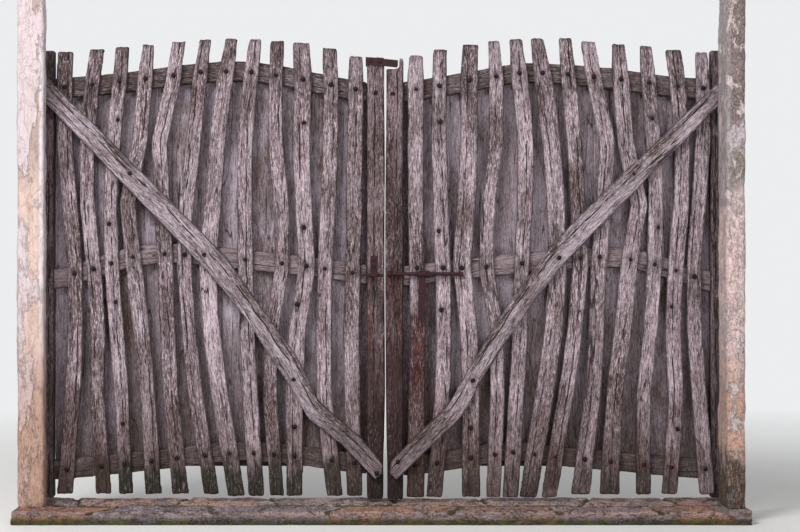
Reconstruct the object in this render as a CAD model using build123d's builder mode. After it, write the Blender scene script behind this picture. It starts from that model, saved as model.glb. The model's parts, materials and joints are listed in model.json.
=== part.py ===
import os
from math import atan2, degrees
from build123d import *

os.makedirs("parts", exist_ok=True)

# Driving sizes, mm. x runs along the opening, y goes back through it, z is up from under the sill.
threshold_high = 60
threshold_front, threshold_back = -290, 110
joint_wide = 11
picket_thick = 24
picket_edge = 3
rail_thick = 40
rail_tall = 88
board_thick = 18
brace_thick = 34
brace_edge = 4
stile_wide = 55
stile_out = 1505
stile_tall = 1977
stile_clear = 13
meet_left, meet_right = -66, 92
jamb_clear = 6
jamb_high = 2230
jamb_left_deep, jamb_right_deep = 130, 170
jamb_left_lap, jamb_right_lap = 37, 35
jamb_left_beyond, jamb_right_beyond = 63, 51
nail_head = 11
nail_rise = 6
nail_shank = 6
strap_thick = 6
strap_wide = 40
strap_long = 388
pin_r = 6
pin_gap = 18
pin_clear = 0.08
pintle_bar = 16
pintle_set = 60
rod_r = 8
rod_up = 1003
rod_stand = 15
rod_start = 24
keeper_thick = 5
keeper_clear = 2
hasp_thick = 5
hasp_wide = 30

# What follows from them.
stile_in = stile_out - stile_wide
spread = stile_in / 1450
rise = stile_tall / 1977
board_rear = rail_thick + board_thick
pin_x = stile_out + pin_gap
pin_y = board_rear + strap_thick / 2
jamb_rear = -picket_thick - brace_thick - jamb_clear
rod_y = -picket_thick - rod_stand
rod_z = threshold_high + rod_up * rise
hinge_heights = (threshold_high + 0.078 * stile_tall, threshold_high + 0.92 * stile_tall)
staple_xs = (34, 203 * spread)

# Heights above the sill where the pickets are set out: foot, five up the picket, below the head.
levels = (35, 471, 748, 1030, 1307, 1584, 1857)

# Centre lines of the rails, (x, height above the sill) from the outer end to the meeting end.
rails = {
    "left": {
        "top": ((-1450, 1822), (-1280, 1835), (-1043, 1861), (-801, 1891), (-603, 1896), (-352, 1860),
                (-66, 1806)),
        "middle": ((-1450, 981), (-1269, 1027), (-1098, 1078), (-933, 1093), (-603, 1065),
                   (-330, 1038), (-66, 999)),
        "bottom": ((-1450, 136), (-1131, 167), (-911, 191), (-625, 218), (-378, 202), (-66, 163)),
    },
    "right": {
        "top": ((1450, 1819), (1307, 1828), (1056, 1859), (783, 1885), (629, 1890), (431, 1862),
                (249, 1830), (92, 1806)),
        "middle": ((1450, 968), (1289, 1021), (1135, 1063), (959, 1078), (783, 1067), (460, 1034),
                   (268, 1014), (92, 994)),
        "bottom": ((1450, 143), (1280, 152), (1012, 177), (770, 198), (576, 219), (392, 194),
                   (251, 172), (92, 154)),
    },
}

# Pickets as (x at each level and at the head, top, width, head width, foot width).
pickets = {
    "left": [
        ((-1396, -1363, -1351, -1353, -1377, -1396, -1398, -1392), 1982, 68, 66, 68),
        ((-1226, -1253, -1250, -1269, -1297, -1298, -1274, -1254), 1993, 64, 62, 64),
        ((-1128, -1147, -1170, -1190, -1197, -1184, -1155, -1145), 2002, 62, 58, 62),
        ((-1005, -1032, -1058, -1091, -1122, -1069, -1041, -1027), 2013, 68, 50, 68),
        ((-887, -931, -944, -953, -967, -981, -920, -897), 2026, 70, 58, 70),
        ((-751, -823, -850, -871, -862, -830, -802, -778), 2037, 65, 50, 65),
        ((-642, -715, -751, -769, -747, -725, -692, -661), 2039, 74, 50, 74),
        ((-553, -582, -593, -601, -607, -604, -579, -559), 2038, 67, 54, 67),
        ((-464, -493, -488, -441, -440, -469, -469, -460), 2030, 63, 58, 63),
        ((-386, -385, -372, -332, -345, -357, -347, -355), 2020, 77, 70, 70),
        ((-208, -255, -257, -251, -238, -226, -224, -229), 1998, 68, 64, 68),
        ((-120, -131, -135, -129, -123, -119, -116, -115), 1962, 68, 56, 68),
    ],
    "right": [
        ((147, 152, 158, 154, 149, 148, 150, 151), 1962, 68, 56, 78),
        ((230, 266, 272, 268, 256, 250, 252, 257), 1993, 69, 64, 69),
        ((392, 390, 384, 351, 371, 385, 383, 391), 2013, 79, 70, 79),
        ((490, 509, 506, 460, 468, 502, 502, 491), 2030, 63, 50, 63),
        ((565, 592, 606, 615, 628, 634, 608, 587), 2037, 70, 52, 70),
        ((642, 715, 755, 773, 766, 747, 711, 683), 2039, 80, 54, 74),
        ((736, 809, 848, 874, 865, 848, 821, 806), 2041, 65, 52, 65),
        ((873, 929, 944, 953, 976, 992, 935, 909), 2026, 70, 62, 84),
        ((1001, 1024, 1060, 1088, 1133, 1073, 1052, 1041), 2016, 74, 54, 84),
        ((1152, 1152, 1183, 1199, 1206, 1198, 1174, 1162), 2006, 64, 50, 64),
        ((1265, 1294, 1280, 1294, 1319, 1322, 1299, 1280), 1989, 68, 66, 68),
        ((1434, 1395, 1376, 1374, 1393, 1412, 1413, 1406), 1980, 66, 52, 66),
    ],
}
picket_feet = {"left": (35,) * 6 + (26,) * 6, "right": (20,) * 7 + (33,) * 5}

# Nails besides the rail nails: extra ones in pickets, and those in the braces and meeting stiles.
extra_nails = {
    "left": [(-1162, 1681), (-1201, 1223), (-1173, 880), (-1140, 343), (-344, 1668), (-344, 1208),
             (-374, 869), (-385, 330), (-862, 994)],
    "right": [(257, 1672), (249, 1192), (261, 845), (1188, 1687), (1214, 1208), (1273, 858),
              (1300, 321), (389, 326)],
}
brace_nails = {
    "left": [(-1104, 1443), (-779, 1087), (-578, 898), (-387, 541), (-22, 130)],
    "right": [(1103, 1441), (776, 1074), (674, 930), (398, 537), (69, 180)],
}
stile_nails = {"left": [(-28, 1800)], "right": [(48, 1796)]}


def placed(points):
    """Points drawn above the sill, put where the sill and the leaf's size bring them."""
    return [(x * spread, threshold_high + z * rise) for x, z in points]


def height_at(points, x):
    """Height of a line of points at x, straight between them."""
    points = sorted(points)
    for (xa, za), (xb, zb) in zip(points, points[1:]):
        if x <= xb:
            return za + (zb - za) * (x - xa) / (xb - xa)
    return points[-1][1]


def axis_of(spec):
    """A picket's centre line as (height, x) pairs."""
    return [(threshold_high + z * rise, x * spread) for x, z in zip(spec[0], levels + (spec[1],))]


def rail_line(side, name):
    """A rail's centre line, its ends at the faces of the stiles."""
    line = placed(rails[side][name])
    meeting = {"left": meet_left, "right": meet_right}[side]
    return line[:-1] + [(meeting, line[-1][1])]


def picket(spec, foot):
    """One split picket: two wandering sides, a narrower head, a level foot, worn front edges."""
    width, head_width, foot_width = [wide * spread for wide in spec[2:]]
    half = [foot_width / 2] + [width / 2] * (len(levels) - 1) + [head_width / 2]
    axis = axis_of(spec)
    axis[0] = (threshold_high + foot, axis[0][1])
    left = [(x - h, z) for (z, x), h in zip(axis, half)]
    right = [(x + h, z) for (z, x), h in zip(axis, half)]
    with BuildPart() as made:
        with BuildSketch(Plane.XZ):
            with BuildLine():
                Polyline(*left, *reversed(right), close=True)
            make_face()
        extrude(amount=picket_thick)
        chamfer(made.faces().sort_by(Axis.Y)[0].edges(), picket_edge)
    return made.part


def rail(line):
    """One bowed rail between the stiles."""
    upper = [(x, z + rail_tall / 2) for x, z in line]
    lower = [(x, z - rail_tall / 2) for x, z in line]
    with BuildPart() as made:
        with BuildSketch(Plane.XZ.offset(-rail_thick)):
            with BuildLine():
                Spline(*upper)
                Line(upper[-1], lower[-1])
                Spline(*reversed(lower))
                Line(lower[0], upper[0])
            make_face()
        extrude(amount=rail_thick)
    return made.part


def back_boards(edges, side):
    """Boards side by side behind the rails, with a V-groove at each joint."""
    top = rail_line(side, "top")
    foot = threshold_high + 0.076 * stile_tall
    heads = [(x, height_at(top, x) + 0.35 * rail_tall) for x in edges]
    with BuildPart() as made:
        with BuildSketch(Plane.XZ.offset(-board_rear)):
            with BuildLine():
                Polyline((edges[0], foot), *heads, (edges[-1], foot), close=True)
            make_face()
        extrude(amount=board_thick)
        for x in edges[1:-1]:
            for y in (rail_thick, board_rear):
                with Locations((x, y, foot + stile_tall / 2)):
                    Box(board_thick / 3, board_thick / 3, 1.2 * stile_tall, rotation=(0, 0, 45),
                        mode=Mode.SUBTRACT)
    return made.part


def nail(length):
    """A forged nail: a faceted rose head and a square shank, pointing back."""
    with BuildPart() as made:
        with BuildSketch(Plane.XZ, mode=Mode.PRIVATE) as head:
            RegularPolygon(nail_head, 6)
        loft([head.sketch.face(), Vertex(0, -nail_rise, 0)])
        with BuildSketch(Plane.XZ):
            Rectangle(nail_shank, nail_shank)
        extrude(amount=-length)
    return made.part


def nails(side):
    """Every nail of a leaf: three rail nails a picket, extra ones, stile and brace nails."""
    spots = placed(stile_nails[side])
    for spec in pickets[side]:
        for name in ("top", "middle", "bottom"):
            line = rail_line(side, name)
            z = height_at(line, height_at(axis_of(spec), line[3][1]))
            over_bolt = rod_z + rod_r + nail_head + 8
            if side == "right" and name == "middle" and spec[0][3] * spread < rod_start + 376:
                z = over_bolt
            spots.append((height_at(axis_of(spec), z), z))
    with BuildPart() as made:
        with Locations(*[(x, -picket_thick, z) for x, z in spots]):
            add(nail(picket_thick + 0.6 * rail_thick))
        with Locations(*[(x, -picket_thick, z) for x, z in placed(extra_nails[side])]):
            add(nail(picket_thick + rail_thick + board_thick / 3))
        with Locations(*[(x, -picket_thick - brace_thick, z) for x, z in placed(brace_nails[side])]):
            add(nail(brace_thick + picket_thick + 18))
    return made.part


def strap_hinges(sign):
    """Two flat straps behind a leaf, each rolled round its pin at the outer end."""
    half = strap_wide / 2
    with BuildPart() as made:
        for z in hinge_heights:
            with BuildSketch(Plane.XZ.offset(-pin_y - strap_thick / 2)):
                with BuildLine():
                    Polyline((sign * pin_x, z - half), (sign * (pin_x - strap_long + half), z - 0.7 * half),
                             (sign * (pin_x - strap_long), z),
                             (sign * (pin_x - strap_long + half), z + 0.7 * half),
                             (sign * pin_x, z + half), close=True)
                make_face()
            extrude(amount=strap_thick)
            with BuildSketch(Plane.XY.offset(z - half)):
                with Locations((sign * pin_x, pin_y)):
                    RegularPolygon(pin_r + strap_thick + 1, 10)
            extrude(amount=strap_wide)
            with Locations((sign * pin_x, pin_y, z)):
                Cylinder(pin_r + pin_clear, strap_wide + 4, mode=Mode.SUBTRACT)
            for reach in (90, 220, 345):
                with Locations((sign * (pin_x - reach), pin_y + strap_thick / 2 + 2, z)):
                    Box(14, 4, 14)
    return made.part


with BuildPart() as threshold:
    half_long = stile_out + jamb_left_beyond
    with Locations((0, (threshold_front + threshold_back) / 2, threshold_high / 2)):
        Box(2 * half_long, threshold_back - threshold_front, threshold_high)
    chamfer(threshold.edges().filter_by(Axis.X).group_by(Axis.Z)[-1].group_by(Axis.Y)[0], 5)
    front, back = threshold_front, threshold_back
    joints = [
        ((-1568, -108), (-1160, -122)), ((-1160, -122), (-905, -104)), ((-905, -104), (-560, -128)),
        ((-560, -128), (-180, -112)), ((-180, -112), (215, -132)), ((215, -132), (640, -106)),
        ((640, -106), (1010, -126)), ((1010, -126), (1568, -100)),
        ((-1245, front), (-1130, -122)), ((-720, front), (-745, -115)), ((-235, front), (-160, -112)),
        ((290, front), (345, -124)), ((760, front), (700, -110)), ((1190, front), (1100, -122)),
        ((-1310, -117), (-1370, back)), ((-905, -104), (-860, back)), ((-430, -122), (-520, back)),
        ((30, -122), (75, back)), ((470, -116), (430, back)), ((860, -118), (925, back)),
        ((1300, -112), (1255, back)),
    ]
    for (xa, ya), (xb, yb) in joints:
        xa, xb = xa * spread, xb * spread
        long = ((xb - xa) ** 2 + (yb - ya) ** 2) ** 0.5
        turn = degrees(atan2(yb - ya, xb - xa))
        with Locations(Location(((xa + xb) / 2, (ya + yb) / 2, threshold_high), (0, 0, turn))):
            Box(long, joint_wide, joint_wide, rotation=(45, 0, 0), mode=Mode.SUBTRACT)
threshold.part.label = "threshold"
export_step(threshold.part, "parts/threshold.step")

# The jambs stand on the sill in front of the leaves and lap over their outer stiles.
for side, sign, deep, lap, beyond, splay, courses in (
    ("left", -1, jamb_left_deep, jamb_left_lap, jamb_left_beyond, 19, (580, 1120, 1700)),
    ("right", 1, jamb_right_deep, jamb_right_lap, jamb_right_beyond, -4, (460, 950, 1530)),
):
    outer, inner, front = sign * (stile_out + beyond), sign * (stile_out - lap), jamb_rear - deep
    with BuildPart() as jamb:
        with BuildSketch(Plane.XY.offset(threshold_high)):
            with BuildLine():
                Polyline((outer, jamb_rear), (outer, front), (inner - sign * splay, front),
                         (inner, jamb_rear), close=True)
            make_face()
        extrude(amount=jamb_high)
        chamfer(jamb.edges().filter_by(Axis.Z).group_by(Axis.Y)[0], 9)
        for z in courses:
            with Locations((inner, front, threshold_high + z)):
                Box(2 * (lap + beyond), 7, 7, rotation=(45, 0, 0), mode=Mode.SUBTRACT)
    jamb.part.label = f"jamb_{side}"
    export_step(jamb.part, f"parts/jamb_{side}.step")

# Four pintles, each a square bar out of a jamb with an upright pin.
with BuildPart() as hinge_pintles:
    bar_end, bar_start = pin_y + pintle_bar / 2, jamb_rear - pintle_set
    for sign in (-1, 1):
        for z in hinge_heights:
            shoulder = z - strap_wide / 2 - 0.5
            with Locations((sign * pin_x, (bar_start + bar_end) / 2, shoulder - pintle_bar / 2)):
                Box(pintle_bar, bar_end - bar_start, pintle_bar)
            with Locations((sign * pin_x, pin_y, shoulder)):
                Cylinder(pin_r, strap_wide + 5, align=(Align.CENTER, Align.CENTER, Align.MIN))
hinge_pintles.part.label = "hinge_pintles"
export_step(hinge_pintles.part, "parts/hinge_pintles.step")

for side, sign, meeting in (("left", -1, meet_left), ("right", 1, meet_right)):
    with BuildPart() as hanging_stile:
        with Locations((sign * (stile_out - stile_wide / 2), board_rear / 2,
                        threshold_high + stile_clear + stile_tall / 2)):
            Box(stile_wide, board_rear, stile_tall)
        chamfer(hanging_stile.edges().filter_by(Axis.Z), 5)
    hanging_stile.part.label = f"hanging_stile_{side}"
    export_step(hanging_stile.part, f"parts/hanging_stile_{side}.step")

    for name in ("top", "middle", "bottom"):
        made = rail(rail_line(side, name))
        made.label = f"{name}_rail_{side}"
        export_step(made, f"parts/{name}_rail_{side}.step")

    for count, (spec, foot) in enumerate(zip(pickets[side], picket_feet[side]), 1):
        made = picket(spec, foot)
        made.label = f"picket_{side}_{count:02d}"
        export_step(made, f"parts/picket_{side}_{count:02d}.step")

    means = [spread * sum(spec[0]) / len(spec[0]) for spec in pickets[side]]
    edges = sorted([sign * stile_in, meeting] + means)
    for count, group in enumerate((edges[0:4], edges[3:7], edges[6:10], edges[9:14]), 1):
        made = back_boards(group, side)
        made.label = f"back_boards_{side}_{count}"
        export_step(made, f"parts/back_boards_{side}_{count}.step")

    made = nails(side)
    made.label = f"nails_{side}"
    export_step(made, f"parts/nails_{side}.step")

    made = strap_hinges(sign)
    made.label = f"hinge_straps_{side}"
    export_step(made, f"parts/hinge_straps_{side}.step")

# The two stiles that meet; the gap between them widens toward the foot.
foot_z = threshold_high + stile_clear - 2
head_z = threshold_high + stile_tall - 19
notch_z = head_z - 52
with BuildPart() as meeting_stile_left:
    with BuildSketch(Plane.XZ.offset(-board_rear)):
        with BuildLine():
            Polyline((meet_left, foot_z), (4, foot_z), (12, head_z - 6), (-2, head_z),
                     (meet_left + 6, head_z), (meet_left, head_z - 8), close=True)
        make_face()
    extrude(amount=board_rear + picket_thick)
meeting_stile_left.part.label = "meeting_stile_left"
export_step(meeting_stile_left.part, "parts/meeting_stile_left.step")

with BuildPart() as meeting_stile_right:
    with BuildSketch(Plane.XZ.offset(-board_rear)):
        with BuildLine():
            Polyline((23, foot_z), (meet_right, foot_z), (meet_right, head_z - 16),
                     (meet_right - 8, head_z - 4), (meet_right - 14, head_z - 4),
                     (meet_right - 14, notch_z), (18.5, notch_z), close=True)
        make_face()
    extrude(amount=board_rear + picket_thick)
meeting_stile_right.part.label = "meeting_stile_right"
export_step(meeting_stile_right.part, "parts/meeting_stile_right.step")

# Braces, straight most of the way and bending down at the meeting end.
brace_outlines = {
    "left": [(-1500, 1900), (-690, 1080), (-548, 881), (-379, 647), (-285, 450), (-184, 356), (-97, 290),
             (3, 165), (-2, 125), (-30, 98), (-172, 248), (-326, 370), (-420, 537), (-590, 800),
             (-760, 1008), (-1500, 1778)],
    "right": [(1500, 1870), (862, 1254), (748, 1136), (587, 915), (473, 740), (359, 546), (285, 417),
              (136, 282), (40, 176), (38, 126), (62, 100), (238, 270), (359, 384), (440, 547),
              (567, 740), (682, 902), (790, 1044), (1500, 1766)],
}
for side, outline in brace_outlines.items():
    with BuildPart() as brace:
        with BuildSketch(Plane.XZ.offset(picket_thick)):
            with BuildLine():
                Polyline(*placed(outline), close=True)
            make_face()
        extrude(amount=brace_thick)
        chamfer(brace.faces().sort_by(Axis.Y)[0].edges(), brace_edge)
    brace.part.label = f"brace_{side}"
    export_step(brace.part, f"parts/brace_{side}.step")

# Flat iron nailed round the head of the left meeting stile, reaching across to the right one.
strap_z = head_z - 17
with BuildPart() as head_strap:
    reach = meet_right - 22
    with BuildSketch(Plane.XZ.offset(picket_thick)):
        with BuildLine():
            Polyline((meet_left - strap_thick, strap_z - 16), (reach - 4, strap_z - 30),
                     (reach, strap_z - 21), (reach, strap_z + 2),
                     (meet_left - strap_thick, strap_z + 16), close=True)
        make_face()
    extrude(amount=strap_thick)
    with Locations((meet_left - strap_thick / 2, (board_rear - picket_thick) / 2, strap_z)):
        Box(strap_thick, board_rear + picket_thick + 2 * strap_thick, 32)
    with Locations((meet_left + 20, board_rear + strap_thick / 2, strap_z)):
        Box(52, strap_thick, 32)
    for x, z in ((meet_left + 16, strap_z - 2), (meet_left + 58, strap_z - 6)):
        with Locations((x, -picket_thick - strap_thick, z)):
            add(nail(20))
head_strap.part.label = "head_strap"
export_step(head_strap.part, "parts/head_strap.step")

# Keeper on the left stile: a plate with a squared loop that takes the bolt.
keeper_x, keeper_wide = -36, 31
with BuildPart() as bolt_keeper:
    hole = rod_r + keeper_clear
    rim = hole + keeper_thick
    plate = -picket_thick - keeper_thick
    with BuildSketch(Plane.YZ.offset(keeper_x - keeper_wide / 2)):
        with BuildLine():
            Polyline((plate, rod_z + rim), (rod_y - hole, rod_z + rim), (rod_y - rim, rod_z + hole),
                     (rod_y - rim, rod_z - hole), (rod_y - hole, rod_z - rim), (plate, rod_z - rim),
                     (plate, rod_z - hole), (rod_y - hole, rod_z - hole), (rod_y - hole, rod_z + hole),
                     (plate, rod_z + hole), close=True)
        make_face()
        with Locations((plate + keeper_thick / 2, rod_z + 32)):
            Rectangle(keeper_thick, 94)
    extrude(amount=keeper_wide)
    with Locations((keeper_x - 4, plate + keeper_thick / 2, rod_z - 6)):
        Box(92, keeper_thick, 13)
    for z in (rod_z + 34, rod_z + 64):
        with Locations((keeper_x, plate, z)):
            add(nail(20))
bolt_keeper.part.label = "bolt_keeper"
export_step(bolt_keeper.part, "parts/bolt_keeper.step")

# Two staples that carry the bolt, driven into the stile and into the middle rail.
staple_wide = 12
with BuildPart() as bolt_staples:
    inner, outer = rod_r + pin_clear, rod_r + 6
    for x, end in zip(staple_xs, (-2, 0.5 * rail_thick)):
        with BuildSketch(Plane.YZ.offset(x - staple_wide / 2)):
            with BuildLine():
                Polyline((end, rod_z + outer), (rod_y - 6, rod_z + outer), (rod_y - outer, rod_z + 6),
                         (rod_y - outer, rod_z - 6), (rod_y - 6, rod_z - outer), (end, rod_z - outer),
                         (end, rod_z - inner), (rod_y - 4, rod_z - inner), (rod_y - inner, rod_z - 4),
                         (rod_y - inner, rod_z + 4), (rod_y - 4, rod_z + inner), (end, rod_z + inner),
                         close=True)
            make_face()
        extrude(amount=staple_wide)
bolt_staples.part.label = "bolt_staples"
export_step(bolt_staples.part, "parts/bolt_staples.step")

# The bolt: a round rod with two collars beside the hasp and a flattened end.
collar = 4.4
hasp_x = staple_xs[1] - staple_wide / 2 - 2.7 - collar - hasp_wide / 2
rod_end = staple_xs[1] + 135
with BuildPart() as bolt_rod:
    with Locations(Location(((rod_start + rod_end) / 2, rod_y, rod_z), (0, 90, 0))):
        Cylinder(rod_r, rod_end - rod_start)
    for x in (hasp_x - hasp_wide / 2 - collar - 0.3, hasp_x + hasp_wide / 2 + 0.3):
        with BuildSketch(Plane.YZ.offset(x)):
            with Locations((rod_y, rod_z)):
                RegularPolygon(rod_r + 4, 10)
        extrude(amount=collar)
    with Locations((rod_end + 7, rod_y, rod_z - 1)):
        Box(24, rod_r - 1, 2.5 * rod_r)
bolt_rod.part.label = "bolt_rod"
export_step(bolt_rod.part, "parts/bolt_rod.step")

# The hasp hangs from the bolt between the collars.
with BuildPart() as bolt_hasp:
    low, half = rod_z - 213, hasp_wide / 2
    with BuildSketch(Plane.YZ.offset(hasp_x - half)):
        with Locations((rod_y, rod_z)):
            RegularPolygon(rod_r + hasp_thick, 10)
    extrude(amount=hasp_wide)
    with BuildSketch(Plane.XZ.offset(-rod_y - hasp_thick / 2)):
        with BuildLine():
            Polyline((hasp_x - half, rod_z), (hasp_x - half, low + 16), (hasp_x - 6, low),
                     (hasp_x + 6, low), (hasp_x + half, low + 16), (hasp_x + half, rod_z), close=True)
        make_face()
    extrude(amount=hasp_thick)
    with Locations(Location((hasp_x, rod_y, rod_z), (0, 90, 0))):
        Cylinder(rod_r + pin_clear, hasp_wide + 10, mode=Mode.SUBTRACT)
bolt_hasp.part.label = "bolt_hasp"
export_step(bolt_hasp.part, "parts/bolt_hasp.step")
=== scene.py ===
import bpy
import json
import math
import numpy as np
from mathutils import Matrix, Vector

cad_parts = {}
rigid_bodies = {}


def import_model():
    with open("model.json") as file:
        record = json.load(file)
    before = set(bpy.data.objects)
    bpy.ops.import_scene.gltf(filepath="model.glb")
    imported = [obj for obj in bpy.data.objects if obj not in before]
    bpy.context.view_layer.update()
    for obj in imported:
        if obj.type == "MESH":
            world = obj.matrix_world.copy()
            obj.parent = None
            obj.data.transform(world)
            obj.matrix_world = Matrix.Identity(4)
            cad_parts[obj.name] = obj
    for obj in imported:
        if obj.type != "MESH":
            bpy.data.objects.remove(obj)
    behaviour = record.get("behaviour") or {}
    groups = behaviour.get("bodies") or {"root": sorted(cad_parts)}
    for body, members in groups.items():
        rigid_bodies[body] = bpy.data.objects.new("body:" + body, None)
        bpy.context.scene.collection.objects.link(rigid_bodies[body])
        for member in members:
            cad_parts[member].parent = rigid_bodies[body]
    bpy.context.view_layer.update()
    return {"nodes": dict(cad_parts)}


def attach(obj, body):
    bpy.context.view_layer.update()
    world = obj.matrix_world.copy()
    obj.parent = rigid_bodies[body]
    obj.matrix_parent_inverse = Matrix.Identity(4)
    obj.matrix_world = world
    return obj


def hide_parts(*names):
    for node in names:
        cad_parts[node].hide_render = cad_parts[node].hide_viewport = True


for leftover in list(bpy.data.objects):
    bpy.data.objects.remove(leftover)
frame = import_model()
print("frame loaded")


weldDistance = 0.00005  # doubles closer than this are one point


def pickOnly(piece):
    bpy.ops.object.select_all(action="DESELECT")
    piece.select_set(True)
    bpy.context.view_layer.objects.active = piece


def copyNode(nodeName, pieceName):
    piece = frame["nodes"][nodeName].copy()
    piece.data = piece.data.copy()
    piece.name = piece.data.name = pieceName
    piece.parent = None
    for key in list(piece.keys()):
        del piece[key]
    bpy.context.scene.collection.objects.link(piece)
    piece.data.materials.clear()
    pickOnly(piece)
    bpy.ops.object.mode_set(mode="EDIT")
    bpy.ops.mesh.select_all(action="SELECT")
    bpy.ops.mesh.remove_doubles(threshold=weldDistance)
    bpy.ops.object.mode_set(mode="OBJECT")
    return piece


def applyAll(piece):
    pickOnly(piece)
    for modifier in list(piece.modifiers):
        bpy.ops.object.modifier_apply(modifier=modifier.name)


def noiseTexture(name, size, depth):
    texture = bpy.data.textures.new(name, "CLOUDS")
    texture.noise_scale = size
    texture.noise_depth = depth
    return texture


def guideEmpty(name, angle, stretch):
    guide = bpy.data.objects.new(name, None)  # its z axis follows the grain
    guide.rotation_euler = (0, angle, 0)
    guide.scale = (1, 1, stretch)
    bpy.context.scene.collection.objects.link(guide)
    bpy.context.view_layer.update()
    return guide


def roughen(piece, voxel, layers, guide):
    remesh = piece.modifiers.new("remesh", "REMESH")
    remesh.mode = "VOXEL"
    remesh.voxel_size = voxel
    for texture, strength, *own in layers:
        push = piece.modifiers.new("push", "DISPLACE")
        push.texture = texture
        push.strength = strength
        push.mid_level = 0.5
        push.texture_coords = "OBJECT"
        push.texture_coords_object = own[0] if own else guide
    applyAll(piece)
    bpy.ops.object.shade_smooth()


def vertexArray(mesh):
    flat = np.empty(len(mesh.vertices) * 3, np.float32)
    mesh.vertices.foreach_get("co", flat)
    return flat.reshape(-1, 3)


grainLook = dict(step=0.05, leastHalf=0.005, frontDepth=0.012, noSplit=9.0, seedAcross=0.37, seedThrough=0.11)


def frontOf(points):
    return points[:, 1] < points[:, 1].min() + grainLook["frontDepth"]


def rising(values, low, length, least=0):
    return np.clip((values - low) / length, least, 1)


def falling(values, high, length, least=0):
    return np.clip((high - values) / length, least, 1)


def layGrain(piece, angle, seed, splits=(), wander=True):
    points = vertexArray(piece.data)
    along = points[:, 0] * math.sin(angle) + points[:, 2] * math.cos(angle)
    across = points[:, 0] * math.cos(angle) - points[:, 2] * math.sin(angle)
    steps = ((along - along.min()) / grainLook["step"]).astype(int)
    known = [s for s in range(steps.max() + 1) if (steps == s).any()]
    where = along.min() + grainLook["step"] * (np.array(known) + 0.5)
    lows = np.array([across[steps == s].min() for s in known])
    highs = np.array([across[steps == s].max() for s in known])
    half = np.interp(along, where, (highs - lows) / 2)
    middle = np.interp(along, where, (highs + lows) / 2)
    fromMiddle = across - middle
    if wander:
        across = fromMiddle
    through = points[:, 1] + seed * grainLook["seedThrough"]
    # grain coordinates: across, through and along the wood
    values = np.stack((across + seed * grainLook["seedAcross"], through, along), 1).astype(np.float32)
    layer = piece.data.attributes.new("grain", "FLOAT_VECTOR", "POINT")
    layer.data.foreach_set("vector", values.ravel())
    setFloat(piece, "side", fromMiddle / np.maximum(half, grainLook["leastHalf"]))
    front = frontOf(points)
    for name, at in zip(("splitA", "splitB"), tuple(splits) + (None, None)):
        away = np.full(len(points), grainLook["noSplit"])
        if at is not None:
            away[front] = (fromMiddle - at)[front]
        setFloat(piece, name, away)
    return fromMiddle


def setFloat(piece, name, values):
    layer = piece.data.attributes.new(name, "FLOAT", "POINT")
    layer.data.foreach_set("value", np.asarray(values, np.float32).ravel())


def setColour(piece, name, values):
    layer = piece.data.attributes.new(name, "FLOAT_COLOR", "POINT")
    layer.data.foreach_set("color", np.asarray(values, np.float32).ravel())


def finishPiece(piece, body, slot, material, *nodes):
    piece.data.materials.append(material)
    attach(piece, body)
    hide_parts(*nodes)


def newGroup(name, inputs, outputs):
    group = bpy.data.node_groups.new(name, "ShaderNodeTree")
    for label, kind, value in inputs:
        socket = group.interface.new_socket(name=label, in_out="INPUT", socket_type=kind)
        if value is not None:
            socket.default_value = value
    for label, kind in outputs:
        group.interface.new_socket(name=label, in_out="OUTPUT", socket_type=kind)
    start = group.nodes.new("NodeGroupInput")
    end = group.nodes.new("NodeGroupOutput")
    return group, start.outputs, end.inputs


def feed(tree, socket, value):
    if isinstance(value, bpy.types.NodeSocket):
        tree.links.new(value, socket)
    elif value is not None:
        socket.default_value = value


def addNode(tree, kind, **values):
    node = tree.nodes.new(kind)
    for key, value in values.items():
        if hasattr(node, key):
            setattr(node, key, value)
        else:
            feed(tree, node.inputs[key.replace("_", " ")], value)
    return node


def attribute(tree, name, output="Fac"):
    return addNode(tree, "ShaderNodeAttribute", attribute_name=name).outputs[output]


def stretched(tree, source, scale):
    return addNode(tree, "ShaderNodeMapping", Vector=source, Scale=scale).outputs["Vector"]


def noise(tree, vector, look):
    if "stretch" in look:
        vector = stretched(tree, vector, look["stretch"])
    node = addNode(tree, "ShaderNodeTexNoise", Vector=vector, Scale=look["scale"], Detail=look["detail"],
                   Roughness=look.get("rough", 0.6), Distortion=look.get("distortion", 0.0))
    return node.outputs["Fac"]


def span(tree, value, low, high, outLow=0.0, outHigh=1.0):
    node = addNode(tree, "ShaderNodeMapRange", Value=value, From_Min=low, From_Max=high, To_Min=outLow,
                   To_Max=outHigh)
    return node.outputs["Result"]


def maths(tree, operation, first, second=None):
    node = addNode(tree, "ShaderNodeMath", operation=operation)
    feed(tree, node.inputs[0], first)
    feed(tree, node.inputs[1], second)
    return node.outputs["Value"]


def mixColour(tree, factor, first, second, blend="MIX"):
    node = addNode(tree, "ShaderNodeMix", data_type="RGBA", blend_type=blend, Factor=factor)
    feed(tree, node.inputs[6], first)
    feed(tree, node.inputs[7], second)
    return node.outputs[2]


tree, given, result = newGroup(
    "weatheredGrain",
    [("Vector", "NodeSocketVector", None), ("Pale", "NodeSocketColor", (0.4, 0.35, 0.35, 1)),
     ("Middle", "NodeSocketColor", (0.2, 0.17, 0.17, 1)), ("Brown", "NodeSocketColor", (0.12, 0.08, 0.07, 1)),
     ("Dark", "NodeSocketColor", (0.04, 0.03, 0.03, 1)), ("Tone", "NodeSocketFloat", 0.5),
     ("Warmth", "NodeSocketFloat", 0.4), ("Fibre", "NodeSocketFloat", 0.8)],
    [("Color", "NodeSocketColor"), ("Height", "NodeSocketFloat")])
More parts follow.
